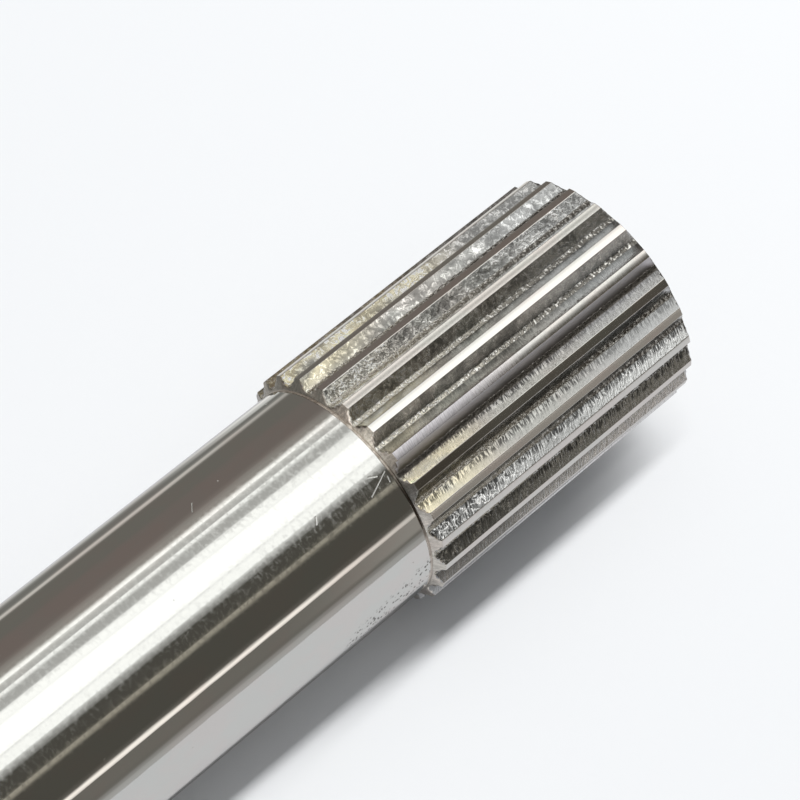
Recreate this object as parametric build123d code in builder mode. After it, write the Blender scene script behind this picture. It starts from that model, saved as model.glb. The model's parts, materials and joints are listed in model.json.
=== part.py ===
"""Splined shaft: a ground journal that ends in a 24-tooth splined head, all turned from one bar.

The shaft lies the way it comes to rest on a flat surface. Its axis runs along X with the head
at +X. The lowest gap of the spline faces straight down, so the head stands on the corners of two
teeth, and the far rim of the thinner journal touches the same surface. +Z is up, Z = 0 is that
surface and X = 0 is the middle of the length. Millimetres throughout.
"""
import os
from math import asin, atan2, cos, pi, sin, sqrt

from build123d import *

# Journal: the plain ground stretch
journal_diameter = 12.0
journal_length = 42.1
journal_end_chamfer = 0.8

# Splined head. Both ends of the teeth are turned down to the journal's diameter by a steep lead-in cone
tooth_count = 24
tip_diameter = 13.2
tooth_depth = 0.50
head_length = 17.9
tip_land = 0.42
root_land = 0.20
lead_in_length = 0.32

# Fine turned groove where the teeth meet the journal
relief_width = 0.12
relief_depth = 0.06

# How far the milling of a gap reaches past the tooth tips
cutter_overrun = 1.0

journal_radius = journal_diameter / 2
tip_radius = tip_diameter / 2
root_radius = tip_radius - tooth_depth
relief_radius = journal_radius - relief_depth

# Tooth gap, seen along the axis: a straight-sided trough between two tip lands
pitch_angle = 2 * pi / tooth_count
land_angle = 2 * asin(tip_land / tip_diameter)
gap_half_angle = (pitch_angle - land_angle) / 2
gap_mouth_half = tip_radius * sin(gap_half_angle)
gap_mouth_height = tip_radius * cos(gap_half_angle)
root_half = root_land / 2
root_height = sqrt(root_radius**2 - root_half**2)
flank_slope = (gap_mouth_half - root_half) / (gap_mouth_height - root_height)
cutter_height = tip_radius + cutter_overrun
cutter_half = root_half + flank_slope * (cutter_height - root_height)

# Rest: tooth corners beside the lowest gap at one end, the rim of the journal at the other
rest_span = journal_length - journal_end_chamfer + lead_in_length
tilt = atan2(gap_mouth_height - journal_radius, rest_span)
axis_height = journal_radius * cos(tilt) + (journal_length - journal_end_chamfer) * sin(tilt)
junction_x = (journal_length - head_length) / 2 * cos(tilt)
junction = (junction_x, 0, axis_height)
along = (cos(tilt), 0, sin(tilt))

lengthwise_plane = Plane(origin=junction, x_dir=along, z_dir=(0, -1, 0))
junction_plane = Plane(origin=junction, x_dir=(0, 1, 0), z_dir=along)

with BuildPart() as splined_shaft:
    # Turned blank: half of its outline, spun about the axis
    with BuildSketch(lengthwise_plane) as blank_outline:
        with BuildLine() as outline:
            Polyline(
                (-journal_length, 0),
                (-journal_length, journal_radius - journal_end_chamfer),
                (-journal_length + journal_end_chamfer, journal_radius),
                (-relief_width, journal_radius),
                (-relief_width, relief_radius),
                (0, relief_radius),
                (0, journal_radius),
                (lead_in_length, tip_radius),
                (head_length - lead_in_length, tip_radius),
                (head_length, journal_radius),
                (head_length, 0),
                close=True,
            )
        make_face()
    revolve(axis=Axis(junction, along))

    # Teeth: the gaps between them, milled straight through the head
    with BuildSketch(junction_plane) as tooth_gaps:
        with BuildLine() as gap_outline:
            Polyline(
                (root_height, -root_half),
                (cutter_height, -cutter_half),
                (cutter_height, cutter_half),
                (root_height, root_half),
                close=True,
            )
        gap = make_face(mode=Mode.PRIVATE)
        with PolarLocations(0, tooth_count):
            add(gap)
    extrude(amount=head_length, mode=Mode.SUBTRACT)

splined_shaft.part.label = "splined_shaft"

os.makedirs("parts", exist_ok=True)
export_step(splined_shaft.part, "parts/splined_shaft.step")
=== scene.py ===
"""Looks of the splined shaft: a fine skin over the turned, ground and milled bar, its steel,
the light and the camera."""

import json
from math import asin, atan2, cos, pi, radians, sin

import bpy
import numpy as np
from mathutils import Matrix, Vector


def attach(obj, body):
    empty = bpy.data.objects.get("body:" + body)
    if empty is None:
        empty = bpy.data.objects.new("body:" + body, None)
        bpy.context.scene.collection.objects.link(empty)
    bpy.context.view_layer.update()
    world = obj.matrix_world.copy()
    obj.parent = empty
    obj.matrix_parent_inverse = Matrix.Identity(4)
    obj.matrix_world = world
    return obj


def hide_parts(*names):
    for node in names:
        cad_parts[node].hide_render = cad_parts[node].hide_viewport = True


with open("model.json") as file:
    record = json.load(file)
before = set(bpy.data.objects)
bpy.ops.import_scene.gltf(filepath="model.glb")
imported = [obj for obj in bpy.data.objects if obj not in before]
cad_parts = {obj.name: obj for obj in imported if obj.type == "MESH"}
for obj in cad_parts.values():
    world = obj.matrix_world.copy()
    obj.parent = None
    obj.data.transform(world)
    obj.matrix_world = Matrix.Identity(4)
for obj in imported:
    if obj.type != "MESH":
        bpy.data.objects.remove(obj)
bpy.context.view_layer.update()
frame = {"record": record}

MM = 0.001

# ---------------------------------------------------------------- sizes, in millimetres
# The part's own sizes, written a second time: a change to them in part.py has to be made here too
TOOTH_COUNT = 24
TIP_RADIUS = 6.6
TOOTH_DEPTH = 0.5
HEAD_LENGTH = 17.9
TIP_LAND = 0.42
ROOT_LAND = 0.20
LEAD_IN_LENGTH = 0.32
JOURNAL_END_CHAMFER = 0.8
RELIEF_WIDTH = 0.12
RELIEF_DEPTH = 0.06
# The skin's own
EDGE_ROUNDING = 0.02
JOURNAL_ROWS = 14
TOOTH_ROWS = 60

mounts = {mount["name"]: mount for mount in frame["record"]["mounts"]}
along = Vector(mounts["head_end"]["axis"]).normalized()
sideways = Vector((0, 1, 0))
upward = along.cross(sideways)
junction = Vector(mounts["head_end"]["pos_m"]) - along * HEAD_LENGTH * MM
journal_length = (junction - Vector(mounts["journal_end"]["pos_m"])).length / MM
journal_radius = mounts["journal"]["dims"]["r_mm"]

pitch_angle = 2 * pi / TOOTH_COUNT
root_radius = TIP_RADIUS - TOOTH_DEPTH
mouth_angle = pitch_angle / 2 - asin(TIP_LAND / 2 / TIP_RADIUS)
root_angle = asin(ROOT_LAND / 2 / root_radius)
root_height = root_radius * cos(root_angle)
mouth_height = TIP_RADIUS * cos(mouth_angle)
flank_slope = (TIP_RADIUS * sin(mouth_angle) - ROOT_LAND / 2) / (mouth_height - root_height)


# ---------------------------------------------------------------- the shaft's skin
def smooth_min(a, b):
    """The smaller of a and b, with the corner between them rounded."""
    overlap = np.clip(EDGE_ROUNDING - np.abs(a - b), 0, None) / EDGE_ROUNDING
    return np.minimum(a, b) - overlap**2 * EDGE_ROUNDING / 4


def tooth_radius(angle):
    """Radius of the toothed outline at an angle from the middle of a gap."""
    angle = np.abs(angle)
    flank = (ROOT_LAND / 2 - flank_slope * root_height) / (np.sin(angle) - flank_slope * np.cos(angle))
    gap = -smooth_min(-flank, -root_height / np.cos(angle))
    return smooth_min(gap, np.full_like(gap, TIP_RADIUS))


def turned_radius(x):
    """Radius of the turned blank at a distance x from the junction, towards the head."""
    if x < -RELIEF_WIDTH:
        return min(journal_radius, journal_radius - JOURNAL_END_CHAMFER + x + journal_length)
    if x < 0:
        return journal_radius - RELIEF_DEPTH
    rise = min(x, HEAD_LENGTH - x) / LEAD_IN_LENGTH
    return journal_radius + (TIP_RADIUS - journal_radius) * rise


def steps_across_a_pitch():
    """Angles from the middle of one gap to the next land, closer together at the corners."""
    corner = radians(0.1)
    steps = [-2 * corner, -corner, 0, corner, 2 * corner]
    middle = (root_angle + mouth_angle) / 2
    half = [0] + [root_angle + step for step in steps] + [middle] + [mouth_angle + step for step in steps]
    return np.array([-angle for angle in reversed(half[1:])] + half + [pitch_angle / 2])


def steps_along_the_axis():
    """Places from the journal's end to the head's, closer together at the cones and the groove."""
    start, end = -journal_length, HEAD_LENGTH
    chamfer = start + JOURNAL_END_CHAMFER
    beside, past_the_cone = 0.03, 0.06
    journal = [start, chamfer - beside, chamfer, chamfer + beside]
    journal += list(np.linspace(chamfer + 1, -2, JOURNAL_ROWS))
    groove = [-0.6, -RELIEF_WIDTH - beside, -RELIEF_WIDTH - 0.001, -RELIEF_WIDTH + 0.01, -0.01]
    lead_in = np.arange(0, LEAD_IN_LENGTH + past_the_cone, 0.02)
    first_tooth_row = lead_in[-1] + past_the_cone
    teeth = np.linspace(first_tooth_row, end - lead_in[-1] - past_the_cone, TOOTH_ROWS)
    return np.concatenate([journal, groove, lead_in, teeth, end - lead_in[::-1]])


class Skin:
    """Grid of the whole surface: one row per place along the axis, one column per angle round it."""

    def __init__(self):
        pitch = steps_across_a_pitch()
        self.x = steps_along_the_axis()
        self.angle = np.concatenate([k * pitch_angle + pitch for k in range(TOOTH_COUNT)]) - pi / 2
        teeth = np.tile(tooth_radius(pitch), TOOTH_COUNT)
        self.rows, self.columns = len(self.x), len(self.angle)
        turned = np.array([turned_radius(x) for x in self.x])[:, None]
        self.radius = np.repeat(turned, self.columns, axis=1)
        head = self.x >= 0
        self.radius[head] = smooth_min(self.radius[head], np.tile(teeth, (head.sum(), 1)))
        self.teeth = teeth
        self.side = np.tile(pitch / pitch_angle * 2, TOOTH_COUNT)

    def gap_attributes(self):
        """Depth in the gap, 0 at the tips and 1 at the root, and side of it, minus towards +Y on top."""
        depth = (TIP_RADIUS - self.radius) / TOOTH_DEPTH
        return [("gap_depth", depth.ravel()), ("gap_side", np.tile(self.side, self.rows))]

    def points(self):
        spokes = np.outer(np.cos(self.angle), sideways) + np.outer(np.sin(self.angle), upward)
        grid = self.x[:, None, None] * np.array(along) + self.radius[..., None] * spokes
        ends = np.outer([self.x[0], self.x[-1]], along)
        return np.array(junction) + np.concatenate([grid.reshape(-1, 3), ends]) * MM

    def faces(self):
        last, centre = (self.rows - 1) * self.columns, self.rows * self.columns
        result = []
        for i in range(self.rows - 1):
            row = i * self.columns
            for j in range(self.columns):
                k = (j + 1) % self.columns
                result.append((row + j, row + k, row + self.columns + k, row + self.columns + j))
        for j in range(self.columns):
            k = (j + 1) % self.columns
            result.append((k, j, centre))
            result.append((last + j, last + k, centre + 1))
        return result

    def finishes(self):
        """Steel of each face: 0 ground journal, 1 turned cones and ends, 2 lands, 3 gaps, 4 groove."""
        x = (self.x[:-1] + self.x[1:]) / 2
        result = np.zeros((self.rows - 1, self.columns), int)
        next_teeth = (self.teeth + np.roll(self.teeth, -1)) / 2
        for i, place in enumerate(x):
            if place > 0:
                turned = turned_radius(place)
                result[i] = np.where(next_teeth > TIP_RADIUS - EDGE_ROUNDING / 2, 2, 3)
                result[i][next_teeth > turned] = 1
            elif place > -RELIEF_WIDTH:
                result[i] = 4
            elif place < -journal_length + JOURNAL_END_CHAMFER:
                result[i] = 1
        return np.concatenate([result.ravel(), np.ones(2 * self.columns, int)])

    def surface_coordinates(self):
        """Millimetres along the axis and round the surface, at each face's corners, for the textures."""
        angle = np.append(self.angle, self.angle[0] + 2 * pi)
        teeth = np.append(self.teeth, self.teeth[0])
        outline = np.concatenate([[0], np.cumsum(np.hypot(np.diff(teeth), teeth[1:] * np.diff(angle)))])
        journal = (angle - pi / 2) * journal_radius
        head = outline - np.interp(pi / 2, angle, outline)
        place = np.empty((self.rows, self.columns + 1, 2))
        place[..., 0] = self.x[:, None]
        place[..., 1] = np.where(self.x[:, None] < 0, journal, head)
        sides = np.stack([place[:-1, :-1], place[:-1, 1:], place[1:, 1:], place[1:, :-1]], 2)
        ends = []
        for j in range(self.columns):
            near, far = place[0], place[-1]
            ends += [near[j + 1], near[j], near[j] + (-journal_radius, 0)]
            ends += [far[j], far[j + 1], far[j] + (TIP_RADIUS, 0)]
        return np.concatenate([sides.reshape(-1, 2), ends])


def build_shaft():
    """The skin as one mesh with its five finishes, riding on and replacing the solid."""
    skin = Skin()
    mesh = bpy.data.meshes.new("splined_shaft_skin")
    mesh.from_pydata([tuple(p) for p in skin.points()], [], skin.faces())
    flat_ends_start = len(mesh.polygons) - 2 * skin.columns
    mesh.polygons.foreach_set("use_smooth", np.arange(len(mesh.polygons)) < flat_ends_start)
    mesh.polygons.foreach_set("material_index", skin.finishes())
    layer = mesh.uv_layers.new(name="surface_mm")
    layer.data.foreach_set("uv", skin.surface_coordinates().astype(np.float32).ravel())
    for name, values in skin.gap_attributes():
        attribute = mesh.attributes.new(name, "FLOAT", "POINT")
        attribute.data.foreach_set("value", np.append(values, [0, 0]).astype(np.float32))
    mesh.update()
    shaft = bpy.data.objects.new("splined_shaft_skin", mesh)
    bpy.context.scene.collection.objects.link(shaft)
    for finish in (ground_steel, turned_steel, land_steel, milled_steel, groove_steel):
        mesh.materials.append(finish())
    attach(shaft, "root")
    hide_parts("splined_shaft")


# ---------------------------------------------------------------- shader building blocks
def node(tree, kind, inputs=None, **settings):
    """A new node. Inputs are sockets to link or plain values; settings are its own properties."""
    made = tree.nodes.new("ShaderNode" + kind)
    for name, value in settings.items():
        setattr(made, name, value)
    for name, value in (inputs or {}).items():
        if isinstance(value, bpy.types.NodeSocket):
            tree.links.new(value, made.inputs[name])
        else:
            made.inputs[name].default_value = value
    return made


def math(tree, operation, a, b=0.0, clamp=False):
    return node(tree, "Math", {0: a, 1: b}, operation=operation, use_clamp=clamp).outputs[0]


def times(tree, first, *others):
    for other in others:
        first = math(tree, "MULTIPLY", first, other)
    return first


def plus(tree, first, *others):
    for other in others:
        first = math(tree, "ADD", first, other)
    return first


def fade(tree, value, start, end, low=0.0, high=1.0):
    """A smooth change from low to high while value goes from start to end."""
    inputs = {"Value": value, "From Min": start, "From Max": end, "To Min": low, "To Max": high}
    return node(tree, "MapRange", inputs, interpolation_type="SMOOTHSTEP").outputs["Result"]


def window(tree, value, rise, fall):
    """1 between two fades and 0 outside. Each fade is a pair: where it is 0 and where it is 1."""
    return times(tree, fade(tree, value, *rise), fade(tree, value, *fall))


def course(tree, value, stops):
    """Runs smoothly through the given stops, pairs of a value and what it turns into."""
    result = stops[0][1]
    for (start, low), (end, high) in zip(stops, stops[1:]):
        result = plus(tree, fade(tree, value, start, end, 0.0, high - low), result)
    return result


def scaled_where(tree, value, mask, share):
    """The value as it is where the mask is 0, and times share where the mask is 1."""
    return times(tree, value, fade(tree, mask, 0, 1, 1.0, share))


def blend(tree, factor, first, second):
    return node(tree, "Mix", {0: factor, 2: first, 3: second}).outputs[0]


def opaque(colour):
    return colour if isinstance(colour, bpy.types.NodeSocket) else (*colour, 1)


def mix_colour(tree, factor, first, second):
    inputs = {0: factor, 6: opaque(first), 7: opaque(second)}
    return node(tree, "Mix", inputs, data_type="RGBA").outputs[2]


def scale_colour(tree, colour, factor):
    inputs = {0: colour, "Scale": factor}
    return node(tree, "VectorMath", inputs, operation="SCALE").outputs["Vector"]


def surface(tree, along_scale=1.0, across_scale=1.0):
    """The point's place on the surface in millimetres, stretched along or across the axis."""
    place = node(tree, "UVMap", uv_map="surface_mm").outputs["UV"]
    scale = (along_scale, across_scale, 1)
    return node(tree, "VectorMath", {0: place, 1: scale}, operation="MULTIPLY").outputs["Vector"]


def place_on(tree):
    """Millimetres along the axis from the junction, and round the surface from the top towards -Y."""
    place = node(tree, "SeparateXYZ", {0: surface(tree)}).outputs
    return place["X"], place["Y"]


def slanted(tree, along_scale, across_scale, slant):
    """As surface(), with the stretch turned by slant degrees on the surface."""
    place = node(tree, "UVMap", uv_map="surface_mm").outputs["UV"]
    scale = (1 / along_scale, 1 / across_scale, 1)
    inputs = {"Vector": place, "Rotation": (0, 0, radians(slant)), "Scale": scale}
    return node(tree, "Mapping", inputs, vector_type="TEXTURE").outputs["Vector"]


def noise(tree, vector, scale, detail=2.0, roughness=0.5, distortion=0.0):
    inputs = {"Vector": vector, "Scale": scale, "Detail": detail, "Roughness": roughness}
    inputs["Distortion"] = distortion
    return node(tree, "TexNoise", inputs).outputs["Fac"]


def bump(tree, height, distance, strength=1.0, normal=None):
    """Distance is in millimetres."""
    inputs = {"Height": height, "Distance": distance * MM, "Strength": strength}
    if normal is not None:
        inputs["Normal"] = normal
    return node(tree, "Bump", inputs).outputs["Normal"]


def stroke(tree, start, end, width):
    """1 on a straight scratch between two places on the surface, 0 beside it."""
    start, end = Vector((*start, 0)), Vector((*end, 0))
    way = end - start
    offset = node(tree, "VectorMath", {0: surface(tree), 1: start}, operation="SUBTRACT").outputs["Vector"]
    inputs = {0: offset, 1: way / way.length_squared}
    share = node(tree, "VectorMath", inputs, operation="DOT_PRODUCT").outputs["Value"]
    share = math(tree, "ADD", share, 0.0, clamp=True)
    foot = scale_colour(tree, way, share)
    gap = node(tree, "VectorMath", {0: offset, 1: foot}, operation="DISTANCE").outputs["Value"]
    return fade(tree, gap, width, width * 0.3)


def steel(name, colour, roughness):
    """A metal of this plain colour and roughness, which its finish then varies."""
    material = bpy.data.materials.new(name)
    material.use_nodes = True
    shader = material.node_tree.nodes["Principled BSDF"]
    shader.inputs["Base Color"].default_value = (*colour, 1)
    shader.inputs["Metallic"].default_value = 1
    shader.inputs["Roughness"].default_value = roughness
    return material, material.node_tree, shader


# ---------------------------------------------------------------- the finishes of the steel
NICKEL = (0.86, 0.86, 0.845)
MILLED = (0.50, 0.495, 0.48)
MILLED_COOL = (0.488, 0.496, 0.496)
LAND = (0.86, 0.84, 0.815)
TURNED = (0.52, 0.495, 0.46)
GROOVE = (0.22, 0.17, 0.13)
STRAW = (0.86, 0.79, 0.58)
# Painted shade in the groove beside one tooth
GROOVE_PAINTED_SHADE = (0.10, 0.08, 0.065)
# Painted shade: a dark strip along one gap
PAINTED_GAP_SHADE = (0.15, 0.14, 0.125)

# Painted reflections and shade: how bright flanks and bevels are, from tooth to tooth, by the place round
# the head in millimetres.
# These tones follow one photo, so a few teeth differ from the rest from every side and in any light.
# BEVEL_PAINTED_LIGHT is for the bevels alone, but it also reaches the chamfer and both flat ends, where it
# shows as sectors of different tone. That is a known fault
FOIL_PAINTED_LIGHT = [(-6.2, 1.2), (-5.2, 0.85), (-2.1, 0.85), (-0.9, 1.25), (1.3, 1.25), (1.6, 1.0), (1.9, 0.75)]
TORN_PAINTED_LIGHT = [
    (-1.2, 1.8), (0.0, 0.55), (1.0, 0.55), (2.1, 0.78), (3.0, 0.78), (4.2, 1.05), (5.2, 1.05),
    (6.2, 0.75), (7.2, 0.75), (8.3, 1.1), (9.4, 1.1), (10.4, 1.5),
]
BEVEL_PAINTED_LIGHT = [
    (-2.0, 1.0), (-1.6, 1.5), (1.7, 1.5), (2.5, 0.8), (3.7, 0.8), (4.6, 0.45), (5.8, 0.45),
    (6.6, 1.3), (7.8, 1.6),
]
# Painted reflection: the foil flanks brighter at the far end, by place round the head
FAR_END_PAINTED_LIGHT = [(-3.6, 0.0), (-3.0, 0.6), (-2.0, 0.6), (-1.0, 0.4)]
STRAW_SHARE = [(0.0, 1.0), (1.0, 0.4), (3.0, 0.4), (4.2, 1.0)]
# How much further up the flank the torn marks go beside the journal
MARKS_BESIDE_JOURNAL = [(5.0, -0.24), (6.2, 0.02), (7.3, 0.02), (8.3, 0.45)]


def round_the_journal(degrees):
    """Surface coordinate of a direction on the journal, in degrees from straight up towards -Y."""
    return radians(degrees) * journal_radius


def stain(tree, colour):
    """The colour with broad faint clouds of red and green."""
    cloud = noise(tree, surface(tree, 0.3, 0.5), 1.0, 3, 0.6)
    red = tuple(part * tint for part, tint in zip(colour, (1.01, 0.985, 0.965)))
    green = tuple(part * tint for part, tint in zip(colour, (0.985, 1.0, 0.98)))
    return mix_colour(tree, fade(tree, cloud, 0.42, 0.60), green, red)


def specks(tree, scale, share, size):
    """1 on small round specks strewn over the surface, 0 elsewhere. Scale is cells per millimetre."""
    cells = node(tree, "TexVoronoi", {"Vector": surface(tree), "Scale": scale})
    lot = node(tree, "SeparateColor", {0: cells.outputs["Color"]}).outputs[0]
    chosen = math(tree, "LESS_THAN", lot, share)
    return times(tree, fade(tree, cells.outputs["Distance"], size, size * 0.5), chosen)


# Start, end and width of each: millimetres along the axis, degrees round the journal, millimetres
SCRATCHES = [
    ((-1.57, 30.0), (-0.29, 24.7), 0.035),
    ((-1.12, 22.3), (-0.76, 24.2), 0.05),
    ((-0.38, 29.7), (-0.32, 27.3), 0.04),
    ((-4.63, 24.0), (-4.44, 21.3), 0.05),
    ((-8.52, -17.1), (-8.15, -21.4), 0.03),
]


def scratches(tree):
    marks = 0.0
    for start, end, width in SCRATCHES:
        start = (start[0], round_the_journal(start[1]))
        end = (end[0], round_the_journal(end[1]))
        marks = math(tree, "ADD", marks, stroke(tree, start, end, width), clamp=True)
    return marks


def pits(tree):
    """A patch of small dark pits low on the side, beside the head."""
    patch = stroke(tree, (-0.1, round_the_journal(84)), (-4.8, round_the_journal(92)), 1.1)
    clumps = fade(tree, noise(tree, surface(tree), 1.6, 2), 0.38, 0.50)
    return times(tree, specks(tree, 5.5, 0.75, 0.46), patch, clumps)


def ground_steel():
    """Mirror-ground journal: faint grinding waves, clouded wear on top, specks, scratches and pits."""
    material, tree, shader = steel("ground_steel", NICKEL, 0.06)
    x, y = place_on(tree)
    top = window(tree, y, (-2.6, 0.6), (3.9, 3.1))
    wear = noise(tree, surface(tree, 4.5, 2.8), 1.0, 4, 0.65, 0.5)
    worn = times(tree, fade(tree, wear, 0.38, 0.72), top)
    marks = scratches(tree)
    holes = pits(tree)
    dents = plus(tree, marks, holes, specks(tree, 1.7, 0.06, 0.10))
    normal = bump(tree, noise(tree, surface(tree, 0.4, 2.6), 1.0, 2), 0.0012)
    normal = bump(tree, times(tree, wear, top), 0.0008, normal=normal)
    normal = bump(tree, dents, -0.012, normal=normal)
    tree.links.new(normal, shader.inputs["Normal"])
    plain = mix_colour(tree, top, stain(tree, NICKEL), (0.855, 0.865, 0.84))
    pitted = mix_colour(tree, holes, plain, (0.10, 0.09, 0.08))
    tree.links.new(pitted, shader.inputs["Base Color"])
    haze = times(tree, worn, fade(tree, x, -14.0, -2.0, 0.15, 0.23))
    rough = plus(tree, haze, 0.05, times(tree, marks, 0.35))
    tree.links.new(rough, shader.inputs["Roughness"])
    return material


def turned_steel():
    """Bevels of the teeth, chamfer and ends: fine turning rings and random blotches, with painted
    reflections and shade that differ round the shaft.
    """
    material, tree, shader = steel("turned_steel", TURNED, 0.24)
    rings = noise(tree, surface(tree, 24.0, 0.6), 1.0, 3, 0.6)
    tree.links.new(bump(tree, rings, 0.002), shader.inputs["Normal"])
    mottle_and_painted_light = fade(tree, noise(tree, surface(tree), 6.0, 3, 0.7), 0.38, 0.62, 0.78, 1.1)
    # Painted reflections and shade, tooth by tooth round the head, times the random blotches
    mottle_and_painted_light = times(tree, mottle_and_painted_light, course(tree, place_on(tree)[1], BEVEL_PAINTED_LIGHT))
    tree.links.new(scale_colour(tree, stain(tree, TURNED), mottle_and_painted_light), shader.inputs["Base Color"])
    return material


def groove_steel():
    """Narrow groove beside the teeth: pale with dirt in it, and dark beside one tooth, a painted shade."""
    material, tree, shader = steel("groove_steel", GROOVE, 0.45)
    dirt = fade(tree, noise(tree, surface(tree), 3.0, 3), 0.35, 0.65)
    colour = mix_colour(tree, dirt, (0.52, 0.46, 0.40), (0.98, 0.92, 0.85))
    # Painted shade: the groove dark beside one tooth
    painted_groove_shade = window(tree, place_on(tree)[1], (2.4, 4.4), (6.8, 5.8))
    tree.links.new(mix_colour(tree, painted_groove_shade, colour, GROOVE_PAINTED_SHADE), shader.inputs["Base Color"])
    return material


def land_steel():
    """Tops of the teeth, turned smooth. Beside the journal one is satin and scratched, and one darker, a
    painted shade.
    """
    material, tree, shader = steel("land_steel", LAND, 0.12)
    rings = noise(tree, surface(tree, 14.0, 0.8), 1.0, 3, 0.65)
    tree.links.new(bump(tree, rings, 0.0016), shader.inputs["Normal"])
    x, y = place_on(tree)
    satin = times(tree, window(tree, y, (2.6, 2.8), (3.8, 3.6)), fade(tree, x, 11.0, 4.0))
    # Painted shade: one land darker beside the journal
    painted_land_shade = times(tree, window(tree, y, (4.6, 4.8), (5.6, 5.4)), fade(tree, x, 7.0, 1.5))
    scores = noise(tree, slanted(tree, 20.0, 2.0, 12), 1.0, 3, 0.7)
    scored = mix_colour(tree, fade(tree, scores, 0.40, 0.62), (0.70, 0.68, 0.72), (0.92, 0.90, 0.94))
    colour = mix_colour(tree, satin, stain(tree, LAND), scored)
    colour = mix_colour(tree, painted_land_shade, colour, (0.56, 0.52, 0.47))
    tree.links.new(colour, shader.inputs["Base Color"])
    rough = plus(tree, fade(tree, rings, 0.3, 0.7, 0.09, 0.18), times(tree, satin, 0.2))
    tree.links.new(rough, shader.inputs["Roughness"])
    return material


def painted_glint_network(tree, scale, width):
    """1 on thin curling lines of painted glints, like those on crumpled foil, 0 between them. Scale is
    lines per millimetre.
    """
    folds = noise(tree, surface(tree, scale, scale), 1.0, 3, 0.55, 0.6)
    return fade(tree, math(tree, "ABSOLUTE", math(tree, "SUBTRACT", folds, 0.5)), width, width * 0.25)


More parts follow.
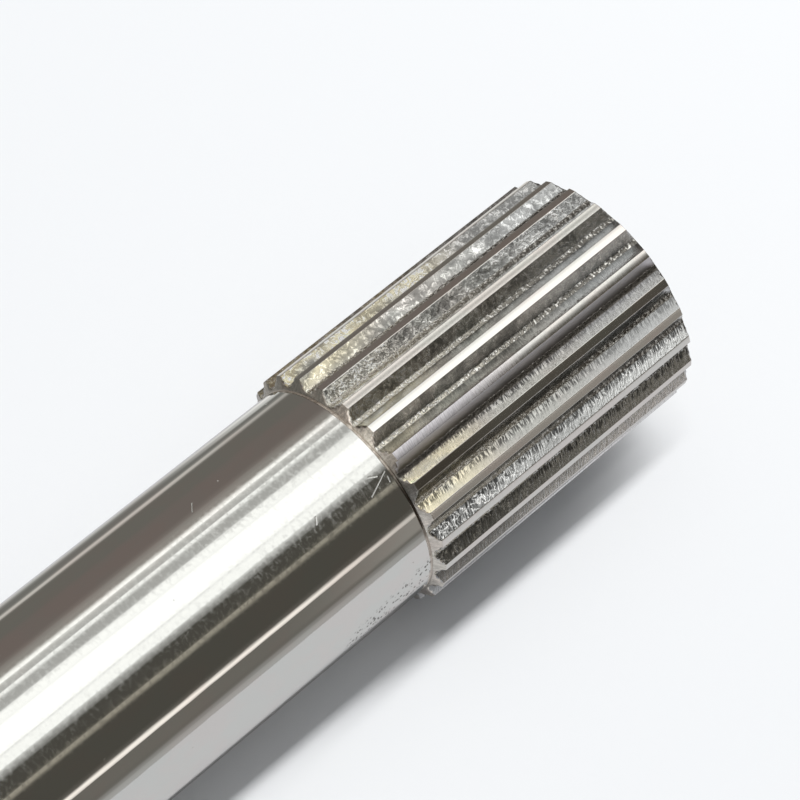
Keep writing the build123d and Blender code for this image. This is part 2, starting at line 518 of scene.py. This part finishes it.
class MilledGap:
    """Places, masks and patterns in the gaps: one flank is crumpled like foil, the other torn.

    Depth is 0 at the tips and 1 at the root. The masks, such as far_end, are 1 there and 0 elsewhere.
    """

    def __init__(self, tree):
        self.tree = tree
        self.depth = node(tree, "Attribute", attribute_name="gap_depth").outputs["Fac"]
        self.side = node(tree, "Attribute", attribute_name="gap_side").outputs["Fac"]
        self.x, self.y = place_on(tree)
        self.torn_side = fade(tree, self.side, 0.0, 0.1)
        self.burnished = window(tree, self.y, (3.2, 3.3), (4.06, 4.0))
        self.root = fade(tree, self.depth, 0.93, 0.99)
        self.beside_journal = fade(tree, self.x, 6.5, 1.5)
        self.far_end = fade(tree, self.x, 8.0, 15.0)
        self.lower_teeth = fade(tree, self.y, 7.3, 8.3)
        self.lowest_teeth = fade(tree, self.y, 9.5, 10.2)
        # Painted shade: the lowest teeth beside the journal
        self.shaded = times(tree, self.lowest_teeth, fade(tree, self.x, 10.0, 2.0))
        self.strokes = noise(tree, slanted(tree, 9.0, 1.6, 20), 1.0, 3, 0.62, 0.9)
        self.crumple = noise(tree, surface(tree, 3.6, 3.2), 1.0, 4, 0.70, 0.7)
        # Painted glints: thin bright curling lines beside the journal, added to the flanks' colour
        self.painted_glints = times(tree, painted_glint_network(tree, 2.2, 0.040), fade(tree, self.x, 8.0, 3.0))
        self.torn_root = fade(tree, noise(tree, surface(tree, 6.0, 4.0), 1.0, 3, 0.65, 0.5), 0.46, 0.60)

    def reach_of_marks(self):
        """1 from the root up to the uneven line where the torn marks end, 0 above it."""
        tree = self.tree
        patches = noise(tree, surface(tree, 0.45, 0.9), 1.0, 2)
        uneven = plus(tree, times(tree, patches, 0.6), times(tree, self.strokes, 0.5))
        shift = times(tree, self.beside_journal, course(tree, self.y, MARKS_BESIDE_JOURNAL))
        reach = fade(tree, plus(tree, self.depth, uneven, shift), 0.93, 1.20)
        reach = scaled_where(tree, reach, self.shaded, 0.35)
        calm = scaled_where(tree, self.far_end, self.lower_teeth, 0.0)
        reach = scaled_where(tree, reach, calm, 0.45)
        reach = times(tree, reach, fade(tree, self.y, 2.6, 4.2, 0.45, 1.0))
        return times(tree, reach, fade(tree, self.y, 11.4, 12.0, 1.0, 0.1))

    def torn_tone(self):
        """Brightness of the torn flanks: bright and dark strokes, with painted shade and reflections tooth
        by tooth, and painted glints on the lower teeth.
        """
        tree = self.tree
        strokes = fade(tree, self.strokes, 0.43, 0.60, 0.26, 1.7)
        tone = blend(tree, self.reach_of_marks(), 1.0, strokes)
        # Painted shade: darker towards the root, lighter towards the tips
        tone = times(tree, tone, fade(tree, self.depth, 0.95, 0.1, 0.78, 1.25))
        tone = times(tree, tone, course(tree, self.y, TORN_PAINTED_LIGHT))
        # Painted shade on the lowest teeth beside the journal and on the lower teeth there, and a painted
        # reflection, brighter, on the lower teeth at the far end
        tone = scaled_where(tree, tone, self.shaded, 0.55)
        tone = scaled_where(tree, tone, times(tree, self.far_end, self.lower_teeth), 1.3)
        dimmed = times(tree, self.beside_journal, self.lower_teeth)
        dimmed = scaled_where(tree, dimmed, self.lowest_teeth, 0.0)
        tone = scaled_where(tree, tone, dimmed, 0.55)
        # Painted glints added on top of the torn flanks' tone
        lines = times(tree, self.painted_glints_on_lower_teeth(), fade(tree, self.lowest_teeth, 0, 1, 1.8, 1.6))
        return plus(tree, tone, lines)

    def painted_glints_on_lower_teeth(self):
        """Painted glints in thin curling lines on the lower teeth, in patches on the lowest."""
        tree = self.tree
        sparse = fade(tree, noise(tree, surface(tree, 0.9, 0.9), 1.0, 2), 0.44, 0.52)
        lines = times(tree, self.painted_glints, blend(tree, self.lowest_teeth, 1.0, sparse))
        return times(tree, lines, self.lower_teeth, fade(tree, self.y, 12.0, 11.4))

    def foil_tone(self):
        """Brightness of the foil-like flanks: dappled, with painted reflections tooth by tooth and
        brighter far away, and painted glints in thin lines beside the journal.
        """
        tree = self.tree
        crumpled = fade(tree, self.y, -2.0, 3.2, 1.0, 0.1)
        tone = blend(tree, crumpled, 1.0, fade(tree, self.crumple, 0.46, 0.66, 0.80, 2.0))
        tone = times(tree, tone, course(tree, self.y, FOIL_PAINTED_LIGHT))
        clouds = noise(tree, surface(tree, 0.8, 1.0), 1.0, 2)
        tone = times(tree, tone, fade(tree, clouds, 0.36, 0.62, 0.7, 1.3))
        # Painted reflection, brighter at the far end
        far_painted_light = times(tree, self.far_end, course(tree, self.y, FAR_END_PAINTED_LIGHT))
        tone = times(tree, tone, plus(tree, far_painted_light, 1.0))
        # Painted glints on the foil flanks beside the journal
        painted_foil_glints = times(tree, self.painted_glints, fade(tree, self.y, -3.6, -2.9))
        return plus(tree, tone, times(tree, painted_foil_glints, fade(tree, self.y, -2.0, -0.9, 1.1, 0.35)))

    def straw(self):
        """1 where the steel is straw-coloured: in clouds beside the journal, and least on a few flanks."""
        tree = self.tree
        cloud = noise(tree, surface(tree, 0.35, 0.5), 1.0, 2)
        place = plus(tree, self.x, fade(tree, self.y, -6.2, -5.4, -6.0, 0.0))
        straw = times(tree, fade(tree, place, 6.5, 1.0), fade(tree, cloud, 0.3, 0.55))
        foil_side = times(tree, fade(tree, self.side, 0.1, -0.1), fade(tree, self.y, -5.2, -3.6))
        straw = scaled_where(tree, straw, foil_side, 0.2)
        straw = times(tree, straw, course(tree, self.y, STRAW_SHARE))
        return times(tree, straw, fade(tree, self.y, 7.4, 8.2, 1.0, 0.0))

    def flank_colour(self):
        tree = self.tree
        cool = math(tree, "MAXIMUM", self.lower_teeth, self.far_end)
        colour = mix_colour(tree, cool, stain(tree, MILLED), MILLED_COOL)
        colour = mix_colour(tree, self.straw(), colour, STRAW)
        tone = blend(tree, self.torn_side, self.foil_tone(), self.torn_tone())
        colour = scale_colour(tree, colour, tone)
        # The burnished flank's colour: light by the land, darker towards the root, a painted shade
        satin = mix_colour(tree, fade(tree, self.y, 3.55, 4.0), (0.80, 0.78, 0.81), (0.34, 0.32, 0.31))
        return mix_colour(tree, self.burnished, colour, satin)

    def root_colour(self):
        tree = self.tree
        # Painted shade in the roots: darker towards the far end, under the bright torn bits
        dim = mix_colour(tree, fade(tree, self.x, 1.0, 14.0), (0.80, 0.77, 0.68), (0.22, 0.21, 0.19))
        return mix_colour(tree, self.torn_root, dim, (0.95, 0.94, 0.90))

    def colour(self):
        """Flanks and roots, with a painted shade: a dark strip along the gap beside the burnished flank.
        """
        tree = self.tree
        colour = mix_colour(tree, self.root, self.flank_colour(), self.root_colour())
        # Painted shade along the gap beside the burnished flank
        painted_gap_shade = window(tree, self.y, (3.95, 4.03), (4.36, 4.24))
        return mix_colour(tree, painted_gap_shade, colour, PAINTED_GAP_SHADE)

    def normal(self):
        tree = self.tree
        height = blend(tree, self.torn_side, self.crumple, self.strokes)
        normal = bump(tree, scaled_where(tree, height, self.burnished, 0.1), 0.035)
        return bump(tree, times(tree, self.torn_root, self.root), 0.05, normal=normal)

    def roughness(self):
        flank = fade(self.tree, self.side, -0.1, 0.1, 0.22, 0.14)
        return math(self.tree, "MAXIMUM", flank, times(self.tree, self.burnished, 0.38))


def milled_steel():
    """Flanks and roots of the gaps between the teeth."""
    material, tree, shader = steel("milled_steel", MILLED, 0.15)
    gap = MilledGap(tree)
    tree.links.new(gap.colour(), shader.inputs["Base Color"])
    tree.links.new(gap.normal(), shader.inputs["Normal"])
    tree.links.new(gap.roughness(), shader.inputs["Roughness"])
    return material


# ---------------------------------------------------------------- floor
def paper(name, colour):
    """Matt and without any shine."""
    material = bpy.data.materials.new(name)
    material.use_nodes = True
    shader = material.node_tree.nodes["Principled BSDF"]
    shader.inputs["Base Color"].default_value = (*colour, 1)
    shader.inputs["Roughness"].default_value = 1
    shader.inputs["Specular IOR Level"].default_value = 0
    return material


def sheet(name, low, high, material):
    """A flat stage piece at the height of the floor, between two corners in millimetres."""
    mesh = bpy.data.meshes.new(name)
    corners = [(low[0], low[1], 0), (high[0], low[1], 0), (high[0], high[1], 0), (low[0], high[1], 0)]
    mesh.from_pydata([(x * MM, y * MM, z) for x, y, z in corners], [], [(0, 1, 2, 3)])
    mesh.materials.append(material)
    flat = bpy.data.objects.new(name, mesh)
    bpy.context.scene.collection.objects.link(flat)
    return flat


def build_floor():
    """A wide white floor, and the narrow part of it that the steel mirrors."""
    floor = sheet("floor", (-400, -400), (400, 400), paper("white_paper", (0.90, 0.91, 0.92)))
    floor.visible_glossy = False
    mirrored = sheet("mirrored_floor", (-200, -33), (200, 13), paper("grey_paper", (0.57, 0.565, 0.575)))
    mirrored.visible_camera = False
    mirrored.visible_diffuse = False
    mirrored.visible_shadow = False
    mirrored.location.z = 0.02 * MM


# ---------------------------------------------------------------- light
WARM = (1.08, 1.0, 0.94)
OLIVE = (1.12, 1.03, 0.84)
RUST = (1.0, 0.05, 0.2)
PLAIN = (1.0, 1.0, 0.985)
# Long lights and pale walls beside the shaft, as the steel mirrors them. Each has its direction round the
# shaft in degrees from straight up (plus towards -Y), half its width, its soft edge, its brightness beside
# the journal and beside the head, and its tint
LONG_LIGHTS = [
    (-165, 20, 22, 0.46, 0.42, PLAIN),
    (-148, 38, 8, 0.10, 0.10, PLAIN),
    (-130, 6, 5, 0.0, 0.45, PLAIN),
    (-108.9, 1.2, 3.6, 0.32, 0.16, WARM),
    (-75, 37, 6, 0.068, 0.068, WARM),
    (-66, 8, 10, 0.016, 0.012, RUST),
    (-47, 1, 12, 0.14, 0.10, WARM),
    (-41.9, 1.0, 3.0, 0.74, 0.66, PLAIN),
    (-31.1, 0.7, 2.4, 0.66, 0.58, PLAIN),
    (-8.5, 30, 8, 0.36, 0.36, PLAIN),
    (-14.6, 1.6, 5.0, 0.72, 0.50, PLAIN),
    (0.4, 8.2, 4.5, 0.84, 0.84, PLAIN),
    (14.7, 0.8, 3.6, 0.70, 0.70, PLAIN),
    (19.5, 0.7, 3.0, 0.66, 0.66, PLAIN),
    (43.5, 0.4, 3.4, 0.25, 0.22, OLIVE),
    (78.1, 0.3, 2.6, 0.92, 0.40, WARM),
    (87.5, 5.5, 4, 0.02, 0.14, WARM),
    (92, 12, 10, 0.055, 0.05, WARM),
    (128, 20, 14, 0.28, 0.24, (1.0, 1.0, 1.02)),
]
ROOM = (0.074, 0.069, 0.059)
# Between these two values of a mirrored direction's X, the lights change from their brightness
# beside the journal to that beside the head
JOURNAL_MIRRORS, HEAD_MIRRORS = 0.35, 0.41
DOME_TINT = (0.97, 1.0, 1.035)
BACKDROP = (0.93, 0.945, 0.96)
LAMP_PLACE = (0.28, 0.019, 0.5)


def add_glow(tree, light, tint, strength):
    glow = scale_colour(tree, tint, strength)
    return node(tree, "VectorMath", {0: light, 1: glow}, operation="ADD").outputs["Vector"]


def mirrored_room(tree, way):
    """What the steel mirrors: a dim room, the long lights, and a pale wall past the journal's end."""
    angle = math(tree, "ARCTAN2", times(tree, way["Y"], -1.0), way["Z"])
    room = ROOM
    for direction, half_width, soft_edge, by_journal, by_head, tint in LONG_LIGHTS:
        aside = math(tree, "ABSOLUTE", math(tree, "SUBTRACT", angle, radians(direction)))
        light = fade(tree, aside, radians(half_width), radians(half_width + soft_edge), 1.0, 0.0)
        strength = fade(tree, way["X"], JOURNAL_MIRRORS, HEAD_MIRRORS, by_journal, by_head)
        room = add_glow(tree, room, tint, times(tree, light, strength))
    wall = times(tree, fade(tree, way["X"], -0.7, -0.88, 0.0, 0.38), fade(tree, way["Z"], -0.02, 0.06))
    return add_glow(tree, room, WARM, wall)


def build_world():
    """Even light on the floor, and a room that only the steel mirrors."""
    world = bpy.data.worlds.new("studio")
    bpy.context.scene.world = world
    world.use_nodes = True
    world.cycles.sampling_method = "NONE"
    tree = world.node_tree
    way = node(tree, "SeparateXYZ", {0: node(tree, "TexCoord").outputs["Generated"]}).outputs
    rays = node(tree, "LightPath").outputs
    height = math(tree, "POWER", math(tree, "MAXIMUM", way["Z"], 0.0), 2.0)
    dome = scale_colour(tree, DOME_TINT, fade(tree, height, 0.0, 1.0, 0.10, 0.52))
    colour = mix_colour(tree, rays["Is Glossy Ray"], dome, mirrored_room(tree, way))
    colour = mix_colour(tree, rays["Is Camera Ray"], colour, BACKDROP)
    tree.links.new(colour, tree.nodes["Background"].inputs["Color"])


def build_lamp():
    """Long narrow softbox above, past the head and turned to the origin, for a soft shadow."""
    lamp = bpy.data.lights.new("softbox", "AREA")
    lamp.shape = "RECTANGLE"
    lamp.size = 0.95
    lamp.size_y = 0.055
    lamp.energy = 3.66
    softbox = bpy.data.objects.new("softbox", lamp)
    bpy.context.scene.collection.objects.link(softbox)
    softbox.location = LAMP_PLACE
    past_head, aside, above = LAMP_PLACE
    softbox.rotation_euler = (-atan2(aside, above), atan2(past_head, above), 0)
    softbox.visible_glossy = False
    softbox.visible_camera = False


# ---------------------------------------------------------------- camera
def build_camera():
    """Looks down along the journal towards the head, leaning slightly to its left."""
    aim = Vector((16.5, 0.938, 9.187)) * MM
    azimuth, elevation, lean, distance = -52.126, 57.046, 8.819, 163.34
    lens = bpy.data.cameras.new("camera")
    lens.lens = 152.3
    lens.clip_start = 0.01
    camera = bpy.data.objects.new("camera", lens)
    bpy.context.scene.collection.objects.link(camera)
    turn = Matrix.Rotation(radians(azimuth), 4, "Z") @ Matrix.Rotation(radians(90 - elevation), 4, "X")
    turn = turn @ Matrix.Rotation(radians(lean), 4, "Z")
    camera.matrix_world = Matrix.Translation(aim) @ turn @ Matrix.Translation((0, 0, distance * MM))
    bpy.context.scene.camera = camera


build_shaft()
build_floor()
build_world()
build_lamp()
build_camera()
bpy.context.scene.view_settings.view_transform = "Standard"
